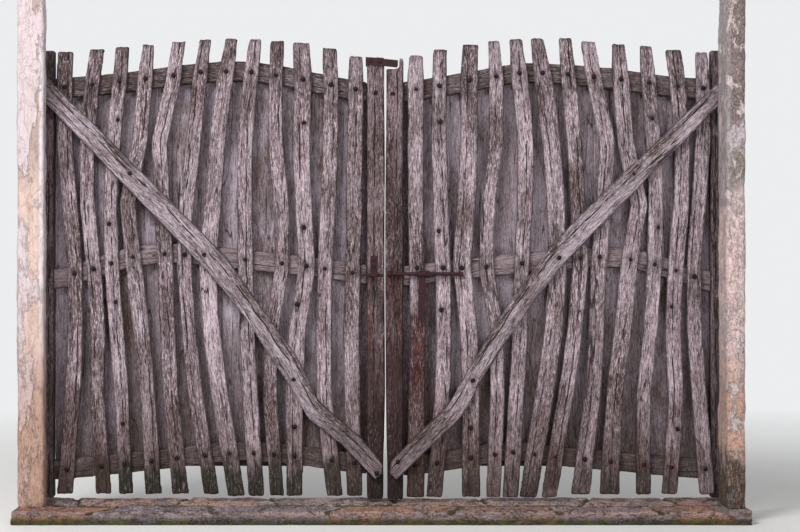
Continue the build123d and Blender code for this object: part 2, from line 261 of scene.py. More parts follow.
# each noise of the grain, and how far it is stretched along the wood
grainLayers = dict(
    zones=dict(stretch=(0.7, 0.7, 0.42), scale=9, detail=3, rough=0.55, distortion=0.5),
    patches=dict(stretch=(1, 1, 0.30), scale=9, detail=4, distortion=0.3),
    streaks=dict(stretch=(1, 1, 0.10), scale=26, detail=4, distortion=0.4),
    fibres=dict(stretch=(1, 1, 0.055), scale=230, detail=4, rough=0.7),
    checks=dict(stretch=(1, 1, 0.06), scale=19, detail=2, rough=0.5, distortion=0.3),
    speckle=dict(stretch=(1, 1, 0.17), scale=240, detail=3, rough=0.8))
# a band is the two values between which a mark fades in, then what it fades from and to where that
# isn't 0 and 1
grainBands = dict(bleached=(0.38, 0.60), crack=(0.002, 0.009, 0.9, 0.0), cracked=(0.44, 0.54),
                  streak=(0.25, 0.75, 0.1, 0.9), zoned=(0.35, 0.65, -0.20, 0.20), brownPatch=(0.46, 0.68),
                  brownZone=(0.50, 0.34, 0, 0.75), fibre=(0.50, 0.72), fleck=(0.54, 0.62),
                  fleckShare=(0, 1, 0.35, 0.95), pit=(0.470, 0.395), pitShare=(0, 1, 1.0, 0.65))
grainShares = dict(contrast=0.74, sunkFibre=0.6, ridge=0.6)
zones, patches, streaks, fibres, checks, speckle = (
    noise(tree, given["Vector"], look) for look in grainLayers.values())
bleached = span(tree, zones, *grainBands["bleached"])  # 1 on bleached wood, 0 on brown wood
crack = maths(tree, "ABSOLUTE", maths(tree, "SUBTRACT", checks, 0.5))
crack = maths(tree, "MULTIPLY", span(tree, crack, *grainBands["crack"]),
              span(tree, patches, *grainBands["cracked"]))
toned = maths(tree, "ADD", span(tree, streaks, *grainBands["streak"]),
              maths(tree, "SUBTRACT", given["Tone"], 0.5))
toned = maths(tree, "ADD", toned, span(tree, zones, *grainBands["zoned"]))
toned = maths(tree, "MULTIPLY", toned, grainShares["contrast"])
body = mixColour(tree, toned, given["Middle"], given["Pale"])
brownest = maths(tree, "MAXIMUM", span(tree, patches, *grainBands["brownPatch"]),
                 span(tree, zones, *grainBands["brownZone"]))
warmMask = maths(tree, "MULTIPLY", brownest, given["Warmth"])
body = mixColour(tree, warmMask, body, given["Brown"])
fibreMask = maths(tree, "MULTIPLY", span(tree, fibres, *grainBands["fibre"]), given["Fibre"])
lined = mixColour(tree, fibreMask, body, given["Dark"])
fleck = maths(tree, "MULTIPLY", span(tree, speckle, *grainBands["fleck"]), given["Fibre"])
fleck = maths(tree, "MULTIPLY", fleck, span(tree, bleached, *grainBands["fleckShare"]))
flecked = mixColour(tree, fleck, lined, given["Pale"])
pit = maths(tree, "MULTIPLY", span(tree, speckle, *grainBands["pit"]), given["Fibre"])
pit = maths(tree, "MULTIPLY", pit, span(tree, bleached, *grainBands["pitShare"]))
pitted = mixColour(tree, pit, flecked, given["Dark"])
tree.links.new(mixColour(tree, crack, pitted, given["Dark"]), result["Color"])
sunkMarks = maths(tree, "ADD", crack, maths(tree, "MULTIPLY", fibreMask, grainShares["sunkFibre"]))
ridged = maths(tree, "MULTIPLY", streaks, grainShares["ridge"])
height = maths(tree, "SUBTRACT", ridged, sunkMarks)
tree.links.new(height, result["Height"])
woodGroup = tree

tree, given, result = newGroup(
    "longSplit",
    [("Color", "NodeSocketColor", (0.5, 0.5, 0.5, 1)), ("Dark", "NodeSocketColor", (0.02, 0.015, 0.015, 1)),
     ("Vector", "NodeSocketVector", None), ("Offset", "NodeSocketFloat", grainLook["noSplit"]),
     ("Width", "NodeSocketFloat", 0.003)],
    [("Color", "NodeSocketColor"), ("Mask", "NodeSocketFloat")])
splitLook = dict(drift=dict(stretch=(0.2, 0.2, 1), scale=7, detail=3), sway=0.02, edge=(0.5, 1.3, 1.0, 0.0),
                 broken=dict(stretch=(0.2, 0.2, 1), scale=11, detail=2), gaps=(0.43, 0.52))
drift = noise(tree, given["Vector"], splitLook["drift"])
broken = noise(tree, given["Vector"], splitLook["broken"])
sway = maths(tree, "MULTIPLY", maths(tree, "SUBTRACT", drift, 0.5), splitLook["sway"])
line = maths(tree, "ADD", given["Offset"], sway)
line = maths(tree, "ABSOLUTE", line)
away = maths(tree, "DIVIDE", line, given["Width"])
held = maths(tree, "MULTIPLY", span(tree, away, *splitLook["edge"]),
             span(tree, broken, *splitLook["gaps"]))
tree.links.new(mixColour(tree, held, given["Color"], given["Dark"]), result["Color"])
tree.links.new(held, result["Mask"])
splitGroup = tree

tree, given, result = newGroup(
    "dampFoot",
    [("Color", "NodeSocketColor", (0.5, 0.5, 0.5, 1)), ("Damp", "NodeSocketColor", (0.05, 0.05, 0.02, 1)),
     ("Line", "NodeSocketFloat", 0.2), ("Fade", "NodeSocketFloat", 0.15), ("Amount", "NodeSocketFloat", 0.9)],
    [("Color", "NodeSocketColor"), ("Mask", "NodeSocketFloat")])
place = addNode(tree, "ShaderNodeTexCoord").outputs["Object"]
height = addNode(tree, "ShaderNodeSeparateXYZ", Vector=place).outputs["Z"]
footLook = dict(ragged=dict(stretch=(1, 1, 0.35), scale=18, detail=4), climb=0.35,
                dry=dict(stretch=(1, 1, 0.2), scale=210, detail=3, rough=0.8),
                flecks=(0.53, 0.62, 1.0, 0.42), pits=(0.47, 0.39, 0.0, 0.75),
                soaked=(0.007, 0.005, 0.004, 1))
ragged = noise(tree, place, footLook["ragged"])
climb = maths(tree, "MULTIPLY", maths(tree, "SUBTRACT", ragged, 0.5), footLook["climb"])
level = maths(tree, "ADD", height, climb)
reach = maths(tree, "DIVIDE", maths(tree, "SUBTRACT", given["Line"], level), given["Fade"])
held = maths(tree, "MULTIPLY", span(tree, reach, 0.0, 1.0), given["Amount"])
# pale flecks stay dry, and dark pits hold the damp
dry = noise(tree, place, footLook["dry"])
held = maths(tree, "MULTIPLY", held, span(tree, dry, *footLook["flecks"]))
soaked = mixColour(tree, span(tree, dry, *footLook["pits"]), given["Damp"], footLook["soaked"])
tree.links.new(mixColour(tree, held, given["Color"], soaked), result["Color"])
tree.links.new(held, result["Mask"])
footGroup = tree

tree, given, result = newGroup(
    "forgedRust",
    [("Vector", "NodeSocketVector", None), ("Scale", "NodeSocketFloat", 60.0),
     ("Iron", "NodeSocketColor", (0.04, 0.02, 0.02, 1)), ("Rust", "NodeSocketColor", (0.16, 0.05, 0.03, 1))],
    [("Color", "NodeSocketColor"), ("Height", "NodeSocketFloat"), ("Roughness", "NodeSocketFloat")])
scabLook = dict(detail=6.0, rough=0.65, band=(0.38, 0.62), gloss=(0.3, 0.7), roughness=(0.55, 0.9))
scab = addNode(tree, "ShaderNodeTexNoise", Detail=scabLook["detail"], Roughness=scabLook["rough"],
               Vector=given["Vector"], Scale=given["Scale"]).outputs["Fac"]
scabbed = span(tree, scab, *scabLook["band"])
tree.links.new(mixColour(tree, scabbed, given["Iron"], given["Rust"]), result["Color"])
tree.links.new(scab, result["Height"])
dull = span(tree, scab, *scabLook["gloss"], *scabLook["roughness"])
tree.links.new(dull, result["Roughness"])
rustGroup = tree

tree, given, result = newGroup(
    "mottledStone",
    [("Vector", "NodeSocketVector", None), ("Ground", "NodeSocketColor", (0.5, 0.4, 0.35, 1)),
     ("Patch", "NodeSocketColor", (0.7, 0.65, 0.6, 1)), ("Dirt", "NodeSocketColor", (0.15, 0.1, 0.08, 1)),
     ("Patches", "NodeSocketFloat", 0.5), ("Specks", "NodeSocketFloat", 0.5),
     ("Streaks", "NodeSocketFloat", 0.5), ("Soft", "NodeSocketFloat", 0.03),
     ("Cracks", "NodeSocketFloat", 0.5)],
    [("Color", "NodeSocketColor"), ("Height", "NodeSocketFloat")])
mottling = dict(
    broad=dict(scale=5, detail=8, rough=0.68), grit=dict(scale=95, detail=4, rough=0.75),
    runs=dict(stretch=(1, 1, 0.12), scale=42, detail=5, rough=0.7),
    dirt=dict(scale=17, detail=6, rough=0.68), veins=dict(scale=9, detail=5, distortion=0.6))
mottleBands = dict(dirt=(0.52, 0.72, 0.0, 0.75), run=(0.48, 0.66), speck=(0.475, 0.375), chip=(0.535, 0.61),
                   vein=(0.003, 0.012, 1.0, 0.0))
mottleHeights = dict(patch=0.5, grit=0.5)
broad, grit, runs, dirt, veins = (noise(tree, given["Vector"], look) for look in mottling.values())
bare = maths(tree, "SUBTRACT", 1.0, given["Patches"])
edge = maths(tree, "SUBTRACT", broad, bare)
patchMask = span(tree, maths(tree, "DIVIDE", edge, given["Soft"]), -1, 1)
ground = mixColour(tree, patchMask, given["Ground"], given["Patch"])
dirtMask = span(tree, dirt, *mottleBands["dirt"])
runMask = maths(tree, "MULTIPLY", span(tree, runs, *mottleBands["run"]), given["Streaks"])
dirty = mixColour(tree, maths(tree, "MAXIMUM", dirtMask, runMask), ground, given["Dirt"])
speck = maths(tree, "MULTIPLY", span(tree, grit, *mottleBands["speck"]), given["Specks"])
specked = mixColour(tree, speck, dirty, given["Dirt"])
chip = maths(tree, "MULTIPLY", span(tree, grit, *mottleBands["chip"]), given["Specks"])
chipped = mixColour(tree, chip, specked, given["Patch"])
vein = maths(tree, "ABSOLUTE", maths(tree, "SUBTRACT", veins, 0.5))
vein = maths(tree, "MULTIPLY", span(tree, vein, *mottleBands["vein"]), given["Cracks"])
veined = mixColour(tree, vein, chipped, given["Dirt"])
tree.links.new(veined, result["Color"])
raised = maths(tree, "ADD", maths(tree, "MULTIPLY", patchMask, mottleHeights["patch"]),
               maths(tree, "MULTIPLY", grit, mottleHeights["grit"]))
tree.links.new(maths(tree, "SUBTRACT", raised, vein), result["Height"])
stoneGroup = tree
print("shared effects built")


def newMaterial(name):
    material = bpy.data.materials.new(name)
    material.use_nodes = True
    tree = material.node_tree
    shader = tree.nodes["Principled BSDF"]
    shader.inputs["Specular IOR Level"].default_value = 0.25
    return material, tree, shader


def useGroup(tree, group, **values):
    return addNode(tree, "ShaderNodeGroup", node_tree=group, **values)


def bumpFrom(tree, shader, value, strength, distance):
    bump = addNode(tree, "ShaderNodeBump", Strength=strength, Distance=distance, Height=value)
    tree.links.new(bump.outputs["Normal"], shader.inputs["Normal"])


edgeShadeBand = (0.80, 0.98)  # how far across a piece the painted shade along its edges starts and ends
rustBlotch = dict(stretch=(1, 1, 0.4), scale=28, detail=5, band=(0.38, 0.56, 0.25, 1.0))
dullness = dict(wood=0.9, stone=0.93)
reliefs = dict(wood=0.005, iron=0.002)  # depths of the finest relief, in metres
ironBump = 0.6


def woodMaterial(name, look):
    material, tree, shader = newMaterial(name)
    grain = attribute(tree, "grain", "Vector")
    wood = useGroup(tree, woodGroup, Pale=look["pale"], Middle=look["middle"], Brown=look["brown"],
                    Dark=look["dark"], Fibre=look["fibre"], Vector=grain, Tone=attribute(tree, "tone"),
                    Warmth=attribute(tree, "warmth"))
    fromMiddle = maths(tree, "ABSOLUTE", attribute(tree, "side"))
    # painted shade: each piece darkens along its edges, as strongly as its look's rim says
    rim = span(tree, fromMiddle, *edgeShadeBand, 0.0, look["rim"])
    colour = mixColour(tree, rim, wood.outputs["Color"], look["dark"])
    masks = []
    for split in ("splitA", "splitB"):
        cut = useGroup(tree, splitGroup, Dark=look["dark"], Width=look["split"], Color=colour, Vector=grain,
                       Offset=attribute(tree, split))
        colour = cut.outputs["Color"]
        masks.append(cut.outputs["Mask"])
    blotch = noise(tree, grain, rustBlotch)
    blotches = span(tree, blotch, *rustBlotch["band"])
    rusted = maths(tree, "MULTIPLY", attribute(tree, "rust"), blotches)
    reddened = mixColour(tree, 1.0, colour, look["rusty"], "MULTIPLY")
    colour = mixColour(tree, rusted, colour, reddened)
    colour = mixColour(tree, attribute(tree, "stain"), colour, look["stain"])
    for key, line in (("damp", "brownLine"), ("moss", "mossLine")):
        foot = useGroup(tree, footGroup, Damp=look[key], Line=look[line][0], Fade=look[line][1],
                        Amount=attribute(tree, key), Color=colour)
        colour = foot.outputs["Color"]
    tree.links.new(colour, shader.inputs["Base Color"])
    shader.inputs["Roughness"].default_value = dullness["wood"]
    opened = maths(tree, "ADD", *masks)
    height = maths(tree, "SUBTRACT", wood.outputs["Height"], opened)
    bumpFrom(tree, shader, height, look["bump"], reliefs["wood"])
    return material


def ironMaterial(name, look):
    material, tree, shader = newMaterial(name)
    place = addNode(tree, "ShaderNodeTexCoord").outputs["Object"]
    rust = useGroup(tree, rustGroup, Scale=look["scale"], Iron=look["iron"], Rust=look["rust"], Vector=place)
    tree.links.new(rust.outputs["Color"], shader.inputs["Base Color"])
    tree.links.new(rust.outputs["Roughness"], shader.inputs["Roughness"])
    shader.inputs["Metallic"].default_value = look["metal"]
    bumpFrom(tree, shader, rust.outputs["Height"], ironBump, reliefs["iron"])
    return material


# each line is the height where a stain begins to fade, and how far it fades
# rim is how strongly painted shade darkens the edges of each kind of piece
woodLooks = {
    "picket": dict(
        pale=(0.640, 0.515, 0.565, 1), middle=(0.104, 0.070, 0.076, 1), brown=(0.098, 0.064, 0.053, 1),
        dark=(0.016, 0.010, 0.011, 1), stain=(0.018, 0.008, 0.009, 1), rusty=(0.55, 0.27, 0.23, 1),
        damp=(0.070, 0.034, 0.023, 1), brownLine=(0.66, 0.50), moss=(0.021, 0.020, 0.011, 1),
        mossLine=(0.275, 0.10), fibre=1.0, rim=0.80, split=0.0023, bump=0.9),
    "board": dict(
        pale=(0.510, 0.430, 0.495, 1), middle=(0.140, 0.101, 0.112, 1), brown=(0.130, 0.082, 0.064, 1),
        dark=(0.030, 0.020, 0.022, 1), stain=(0.030, 0.014, 0.012, 1), rusty=(0.60, 0.32, 0.26, 1),
        damp=(0.062, 0.038, 0.030, 1), brownLine=(0.95, 0.65), moss=(0.026, 0.022, 0.014, 1),
        mossLine=(0.24, 0.08), fibre=0.75, rim=0.0, split=0.003, bump=0.6),
    "rail": dict(
        pale=(0.310, 0.236, 0.256, 1), middle=(0.058, 0.041, 0.041, 1), brown=(0.078, 0.048, 0.036, 1),
        dark=(0.014, 0.009, 0.009, 1), stain=(0.020, 0.012, 0.010, 1), rusty=(0.60, 0.32, 0.26, 1),
        damp=(0.050, 0.031, 0.024, 1), brownLine=(0.70, 0.4), moss=(0.022, 0.020, 0.011, 1),
        mossLine=(0.24, 0.08), fibre=0.85, rim=0.5, split=0.0017, bump=0.6),
    "brace": dict(
        pale=(0.580, 0.475, 0.530, 1), middle=(0.115, 0.081, 0.088, 1), brown=(0.095, 0.062, 0.048, 1),
        dark=(0.016, 0.010, 0.011, 1), stain=(0.018, 0.008, 0.009, 1), rusty=(0.60, 0.32, 0.26, 1),
        damp=(0.055, 0.036, 0.030, 1), brownLine=(0.60, 0.5), moss=(0.028, 0.024, 0.016, 1),
        mossLine=(0.15, 0.05), fibre=0.95, rim=0.65, split=0.0028, bump=0.9),
    "stile": dict(
        pale=(0.350, 0.258, 0.275, 1), middle=(0.046, 0.027, 0.029, 1), brown=(0.058, 0.034, 0.029, 1),
        dark=(0.012, 0.007, 0.008, 1), stain=(0.016, 0.007, 0.008, 1), rusty=(0.74, 0.44, 0.36, 1),
        damp=(0.030, 0.014, 0.013, 1), brownLine=(1.05, 0.6), moss=(0.014, 0.012, 0.010, 1),
        mossLine=(0.24, 0.10), fibre=1.0, rim=0.5, split=0.0028, bump=0.9),
}
woods = {key: woodMaterial(key + "Wood", look) for key, look in woodLooks.items()}
ironLooks = {
    "rustyIron": dict(scale=40.0, iron=(0.011, 0.006, 0.009, 1), rust=(0.046, 0.012, 0.014, 1), metal=0.15),
    "nailIron": dict(scale=90.0, iron=(0.006, 0.003, 0.004, 1), rust=(0.018, 0.007, 0.007, 1), metal=0.1),
}
rustyIron, nailIron = (ironMaterial(name, look) for name, look in ironLooks.items())
mossLook = dict(scale=30, detail=4, thick=(0.30, 0.55, 0.45, 1.0), tone=(0.42, 0.60))


def stoneMaterial(name, look):
    material, tree, shader = newMaterial(name)
    place = addNode(tree, "ShaderNodeTexCoord").outputs["Object"]
    stone = useGroup(tree, stoneGroup, Patch=look["patch"], Dirt=look["dirt"], Specks=look["specks"],
                     Streaks=look["streaks"], Soft=look["soft"], Cracks=look["cracks"],
                     Patches=attribute(tree, "limewash"), Ground=attribute(tree, "tint", "Color"),
                     Vector=stretched(tree, place, look["run"]))
    mossy = noise(tree, place, mossLook)
    thick = span(tree, mossy, *mossLook["thick"])
    mossMask = maths(tree, "MULTIPLY", attribute(tree, "joint"), thick)
    mossTone = span(tree, mossy, *mossLook["tone"])
    mossColour = mixColour(tree, mossTone, look["deepMoss"], look["moss"])
    colour = mixColour(tree, mossMask, stone.outputs["Color"], mossColour)
    foot = useGroup(tree, footGroup, Line=look["line"], Fade=look["fade"], Amount=look["wet"],
                    Damp=mossColour, Color=colour)
    tree.links.new(foot.outputs["Color"], shader.inputs["Base Color"])
    shader.inputs["Roughness"].default_value = dullness["stone"]
    bumpFrom(tree, shader, stone.outputs["Height"], 1.0, look["relief"])
    return material


# the foot of a stone darkens below "line" over "fade", as strongly as "wet" says
stoneLooks = {
    "left": dict(
        patch=(0.615, 0.520, 0.545, 1), dirt=(0.38, 0.240, 0.180, 1), specks=0.36, streaks=0.36, relief=0.008,
        soft=0.020, cracks=0.15, run=(2.3, 2.3, 0.9), moss=(0.47, 0.310, 0.240, 1),
        deepMoss=(0.42, 0.255, 0.190, 1), line=0.85, fade=0.55, wet=0.85),
    "right": dict(
        patch=(0.76, 0.630, 0.610, 1), dirt=(0.095, 0.072, 0.064, 1), specks=0.80, streaks=0.25, relief=0.012,
        soft=0.03, cracks=0.3, run=(4.2, 4.2, 2.6), moss=(0.090, 0.072, 0.050, 1),
        deepMoss=(0.028, 0.023, 0.018, 1), line=0.34, fade=0.12, wet=0.92),
    "sill": dict(
        patch=(0.43, 0.340, 0.345, 1), dirt=(0.062, 0.036, 0.028, 1), specks=1.0, streaks=0.3, relief=0.030,
        soft=0.02, cracks=0.85, run=(1.1, 0.55, 3.0), moss=(0.120, 0.120, 0.032, 1),
        deepMoss=(0.012, 0.014, 0.007, 1), line=0.0, fade=0.02, wet=0.0),
}
stones = {key: stoneMaterial(key + "Stone", look) for key, look in stoneLooks.items()}
print("materials built")


nailDepths = {"left": [], "right": []}
bareSpots = [(-0.862, 1.054), (-0.578, 0.956), (0.674, 0.990)]  # no nail shows here in the photograph
nailFind = dict(proud=-0.0295, apart=0.0003, seat=0.006)  # "apart" is a squared distance
nailStain = dict(streakWidth=0.007, streakLength=0.045, streak=0.75, ringWidth=0.016, ring=0.8)


def nailSpots(nodeName):
    points = vertexArray(frame["nodes"][nodeName].data)
    tips = points[points[:, 1] < nailFind["proud"]]  # the proud points of the rose heads
    spots = []
    depths = nailDepths[nodeName.split("_")[1]]
    depths.clear()
    for x, y, z in tips[np.argsort(tips[:, 1])]:
        if all((x - a) ** 2 + (z - b) ** 2 > nailFind["apart"] for a, b in spots + bareSpots):
            spots.append((float(x), float(z)))
            depths.append(float(y) + nailFind["seat"])
    return spots


def stainUnderNails(piece, spots):
    points = vertexArray(piece.data)
    front = frontOf(points)
    mask = np.zeros(len(points))
    for x, z in spots:
        drop = z - points[:, 2]
        streak = np.exp(-((points[:, 0] - x) / nailStain["streakWidth"]) ** 2) * (drop > 0)
        streak = streak * np.exp(-drop / nailStain["streakLength"]) * nailStain["streak"]
        around = np.hypot(points[:, 0] - x, points[:, 2] - z)
        ring = np.exp(-(around / nailStain["ringWidth"]) ** 2) * nailStain["ring"]
        mask = np.maximum(mask, np.where(front, np.maximum(streak, ring), 0))
    return mask


def smudge(x, z, look):
    near = ((x - look["x"]) / look["wide"]) ** 2 + ((z - look["z"]) / look["high"]) ** 2
    return look["strength"] * np.exp(-near)


alongGrain = 9  # how far the lumps of hewn wood are drawn out along it
braceAngles = dict(left=-44.6, right=46)  # degrees from upright
uprightGuide = guideEmpty("uprightGuide", 0, alongGrain)
levelGuide = guideEmpty("levelGuide", math.pi / 2, alongGrain)
braceGuides = {side: guideEmpty(side + "BraceGuide", math.radians(angle), alongGrain)
               for side, angle in braceAngles.items()}
swell = noiseTexture("swell", 0.09, 1)
ridge = noiseTexture("ridge", 0.018, 2)
splinter = noiseTexture("splinter", 0.009, 1)
# how finely each kind of piece is remeshed, and how far each texture pushes its faces
hewn = dict(
    picket=(0.007, ((swell, 0.010), (ridge, 0.006), (splinter, 0.003))),
    rail=(0.008, ((swell, 0.010), (ridge, 0.006))),
    brace=(0.007, ((swell, 0.008), (ridge, 0.007), (splinter, 0.003))),
    stile=(0.008, ((swell, 0.006), (ridge, 0.005))))
# where the grain of each kind of piece starts, so that no two pieces look alike
seeds = dict(left=dict(picket=0, board=4, rail=31, brace=50, stile=60),
             right=dict(picket=20, board=9, rail=36, brace=50, stile=62))

# for each picket: tone, warmth, brown damp, moss at the foot, and its long split in metres from the middle
picketLooks = {
    "left": ((0.36, 0.6, 0.75, 0.35, 0.012), (0.42, 0.5, 0.7, 0.5, -0.014), (0.58, 0.3, 0.6, 0.95, 0.004),
             (0.50, 0.6, 0.6, 0.95, 0.014), (0.45, 0.6, 0.55, 0.95, 0.006), (0.50, 0.5, 0.6, 0.95, -0.010),
             (0.58, 0.3, 0.6, 0.95, None), (0.58, 0.3, 0.55, 0.95, 0.006), (0.46, 0.7, 0.6, 0.9, 0.016),
             (0.54, 0.4, 0.6, 0.9, -0.008), (0.50, 0.5, 0.7, 0.8, 0.010), (0.50, 0.5, 0.8, 0.7, None)),
    "right": ((0.50, 0.6, 0.9, 0.5, None), (0.52, 0.5, 0.8, 0.6, 0.012), (0.38, 0.8, 0.75, 0.5, -0.010),
              (0.46, 0.5, 0.7, 0.3, -0.004), (0.56, 0.3, 0.6, 0.5, 0.004), (0.40, 0.6, 0.65, 0.65, -0.012),
              (0.42, 0.7, 0.7, 0.4, 0.008), (0.54, 0.4, 0.6, 0.5, -0.006), (0.48, 0.5, 0.6, 0.6, 0.002),
              (0.52, 0.4, 0.6, 0.5, None), (0.48, 0.5, 0.6, 0.45, -0.006), (0.50, 0.2, 0.3, 0.15, None)),
}


def sameAll(piece, **values):
    for name, value in values.items():
        setFloat(piece, name, np.full(len(piece.data.vertices), value))


# waves are height, rate and shift of the slow changes of tone; raw is where the heads weather more, and
# below the hasp the first right picket is rusted
picketWeather = dict(
    waves=((0.10, 3.1, 1.7), (0.07, 7.3, 2.9)), wavesWarmth=1.4, shift=dict(left=-0.05, right=0.03),
    raw=(1.72, 0.15), rawTone=0.16, rawWarmth=0.25, head=(-0.020, 0.015), headStain=0.5,
    belowHasp=(0.905, 0.04), rustTone=0.5, rustWarmth=0.3, rustFade=(0.25, 0.4, 0.3))
# the boards beside the meeting stiles get painted shade: a dark tone for the shadowed gap there, with a
# browner warmth
boardLook = dict(groove=(0.0425, 0.0555), shaded=(-0.16, 0.20), shadedTone=0.05, shadedWarmth=1.2,
                 tones=(0.80, 0.45, 0.70, 0.95, 0.60), warmths=(0.45, 1.0, 0.7, 0.35, 0.9, 0.6, 1.2),
                 first=dict(left=0, right=7))
railTones = dict(left=dict(top=0.04, middle=0.92, bottom=0.45),
                 right=dict(top=0.24, middle=0.92, bottom=0.45))
railWarmths = dict(top=0.8, middle=0.4, bottom=0.8)
railSplit = 0.016
braceLook = dict(split=dict(left=0.012, right=-0.016), upSide=dict(left=1, right=-1), upper=(0.02, 0.4),
                 tone=0.56, upperTone=0.24, warmth=0.45, upperWarmth=0.75,
                 moreWarmth=dict(left=0, right=0.25), stain=0.7)
# the two meeting faces come closer together over the middle of their height
meetingLook = dict(rise=(0.25, 0.3), fall=(1.95, 0.4, 0.3), wave=0.0015, waveRate=4.1, push=0.010,
                   closing=0.0048, leftFrom=-0.010, leftLimit=0.0070, rightFrom=0.036, rightLimit=0.0200)
stileLook = dict(
    splits=dict(meeting_left=(-0.006, 0.030), meeting_right=(0.010, None), hanging_left=(0.006, None),
                hanging_right=(-0.004, None)),
    belowBolt=(1.075, 0.05), rustFade=(0.3, 0.4, 0.3), leftStrips=((-0.034, 0.006), (0.001, 0.004)),
    leftRust=(0.15, 0.75), rightRust=0.8,
    leftSmudge=dict(x=-0.040, z=1.035, wide=0.012, high=0.02, strength=0.85),
    rightSmudge=dict(x=0.062, z=0.885, wide=0.016, high=0.045, strength=0.9))

for side in ("left", "right"):
    spots = nailSpots("nails_" + side)
    leaf = "leaf_" + side
    for count, (tone, warmth, damp, moss, split) in enumerate(picketLooks[side], 1):
        look = picketWeather
        node = f"picket_{side}_{count:02d}"
        piece = copyNode(node, f"splitPicket{side.title()}{count:02d}")
        roughen(piece, *hewn["picket"], uprightGuide)
        layGrain(piece, 0, seeds[side]["picket"] + count, (split,))
        sameAll(piece, damp=damp, moss=moss)
        height = vertexArray(piece.data)[:, 2]
        drift = sum(size * np.sin(height * rate + count * shift) for size, rate, shift in look["waves"])
        raw = rising(height, *look["raw"])
        below = falling(height, *look["belowHasp"]) * ((side, count) == ("right", 1))
        toned = tone + drift - look["rawTone"] * raw - look["rustTone"] * below + look["shift"][side]
        setFloat(piece, "tone", toned)
        warmed = warmth - look["wavesWarmth"] * drift + look["rawWarmth"] * raw + look["rustWarmth"] * below
        setFloat(piece, "warmth", warmed)
        rawHead = rising(height - height.max(), *look["head"]) * look["headStain"]
        setFloat(piece, "stain", np.maximum(stainUnderNails(piece, spots), rawHead))
        setFloat(piece, "rust", below * rising(height, *look["rustFade"]))
        finishPiece(piece, leaf, "picket_wood", woods["picket"], node)
    print(side, "pickets done")

    for count in range(1, 5):
        node = f"back_boards_{side}_{count}"
        piece = copyNode(node, f"backBoards{side.title()}{count}")
        layGrain(piece, 0, seeds[side]["board"] + count, wander=False)
        points = vertexArray(piece.data)
        low, high = boardLook["groove"]
        inGroove = (points[:, 1] > low) & (points[:, 1] < high)
        grooves = sorted({round(float(x), 3) for x in points[inGroove, 0]})
        sameAll(piece, damp=0.75, moss=0.4, stain=0.0, rust=0.0)
        faceTone = piece.data.attributes.new("tone", "FLOAT", "FACE")
        faceWarmth = piece.data.attributes.new("warmth", "FLOAT", "FACE")
        low, high = boardLook["shaded"]
        for face in piece.data.polygons:
            board = sum(face.center[0] > x for x in grooves) + 3 * count + boardLook["first"][side]
            tone = boardLook["tones"][board % len(boardLook["tones"])]
            warmth = boardLook["warmths"][board % len(boardLook["warmths"])]
            # painted shade on the boards beside the meeting stiles
            if low < face.center[0] < high:
                tone, warmth = boardLook["shadedTone"], boardLook["shadedWarmth"]
            faceTone.data[face.index].value = tone
            faceWarmth.data[face.index].value = warmth
        finishPiece(piece, leaf, "board_wood", woods["board"], node)

    for row, (name, tone) in enumerate(railTones[side].items()):
        node = f"{name}_rail_{side}"
        piece = copyNode(node, f"{name}Rail{side.title()}")
        roughen(piece, *hewn["rail"], levelGuide)
        layGrain(piece, math.pi / 2, seeds[side]["rail"] + row, (railSplit,))
        sameAll(piece, tone=tone, warmth=railWarmths[name], damp=0.6, moss=0.5, stain=0.0, rust=0.0)
        finishPiece(piece, leaf, "rail_wood", woods["rail"], node)

    look = braceLook
    node = "brace_" + side
    piece = copyNode(node, "brace" + side.title())
    roughen(piece, *hewn["brace"], braceGuides[side])
    across = layGrain(piece, math.radians(braceAngles[side]), seeds[side]["brace"],
                      (look["split"][side], None))
    wide, start = look["upper"]
    upper = np.clip(look["upSide"][side] * across / wide - start, 0, 1)  # a browner strip on the upper edge
    sameAll(piece, damp=0.6, moss=0.4, rust=0.0)
    setFloat(piece, "tone", look["tone"] - look["upperTone"] * upper)
    setFloat(piece, "warmth", look["warmth"] + look["upperWarmth"] * upper + look["moreWarmth"][side])
    setFloat(piece, "stain", stainUnderNails(piece, spots) * look["stain"])
    finishPiece(piece, leaf, "brace_wood", woods["brace"], node)

    for row, name in enumerate(("hanging", "meeting")):
        node = f"{name}_stile_{side}"
        piece = copyNode(node, f"{name}Stile{side.title()}")
        roughen(piece, *hewn["stile"], uprightGuide)
        layGrain(piece, 0, seeds[side]["stile"] + row, stileLook["splits"][f"{name}_{side}"], wander=False)
        points = vertexArray(piece.data)
        x, z = points[:, 0], points[:, 2]
        if name == "meeting":
            look = meetingLook
            reach = rising(z, *look["rise"]) * falling(z, *look["fall"])
            wave = look["wave"] * np.sin(z * look["waveRate"]) * reach
            if side == "left":
                near = rising(x, look["leftFrom"], look["push"]) * reach
                limit = look["leftLimit"] + look["closing"] * reach + wave
                points[:, 0] = np.minimum(x + look["push"] * near, limit)
            else:
                near = falling(x, look["rightFrom"], look["push"]) * reach
                limit = look["rightLimit"] - look["closing"] * reach + wave
                points[:, 0] = np.maximum(x - look["push"] * near, limit)
            piece.data.vertices.foreach_set("co", points.ravel())
            piece.data.update()
        look = stileLook
        rust = falling(z, *look["belowBolt"])
        fade = rising(z, *look["rustFade"])
        if name == "hanging":
            sameAll(piece, tone=0.42, warmth=0.7, damp=0.3, moss=0.4, stain=0.0, rust=0.0)
        elif side == "left":
            outer, inner = look["leftStrips"]
            strips = np.maximum(falling(x, *outer), rising(x, *inner))
            least, more = look["leftRust"]
            sameAll(piece, tone=0.50, warmth=0.8, damp=1.0, moss=0.6)
            setFloat(piece, "rust", rust * (least + more * strips) * fade)
            setFloat(piece, "stain", smudge(x, z, look["leftSmudge"]))
        else:
            sameAll(piece, tone=0.34, warmth=0.8, damp=1.0, moss=0.6)
            setFloat(piece, "rust", rust * fade * look["rightRust"])
            setFloat(piece, "stain", smudge(x, z, look["rightSmudge"]))
        finishPiece(piece, leaf, "stile_wood", woods["stile"], node)
    print(side, "leaf done")

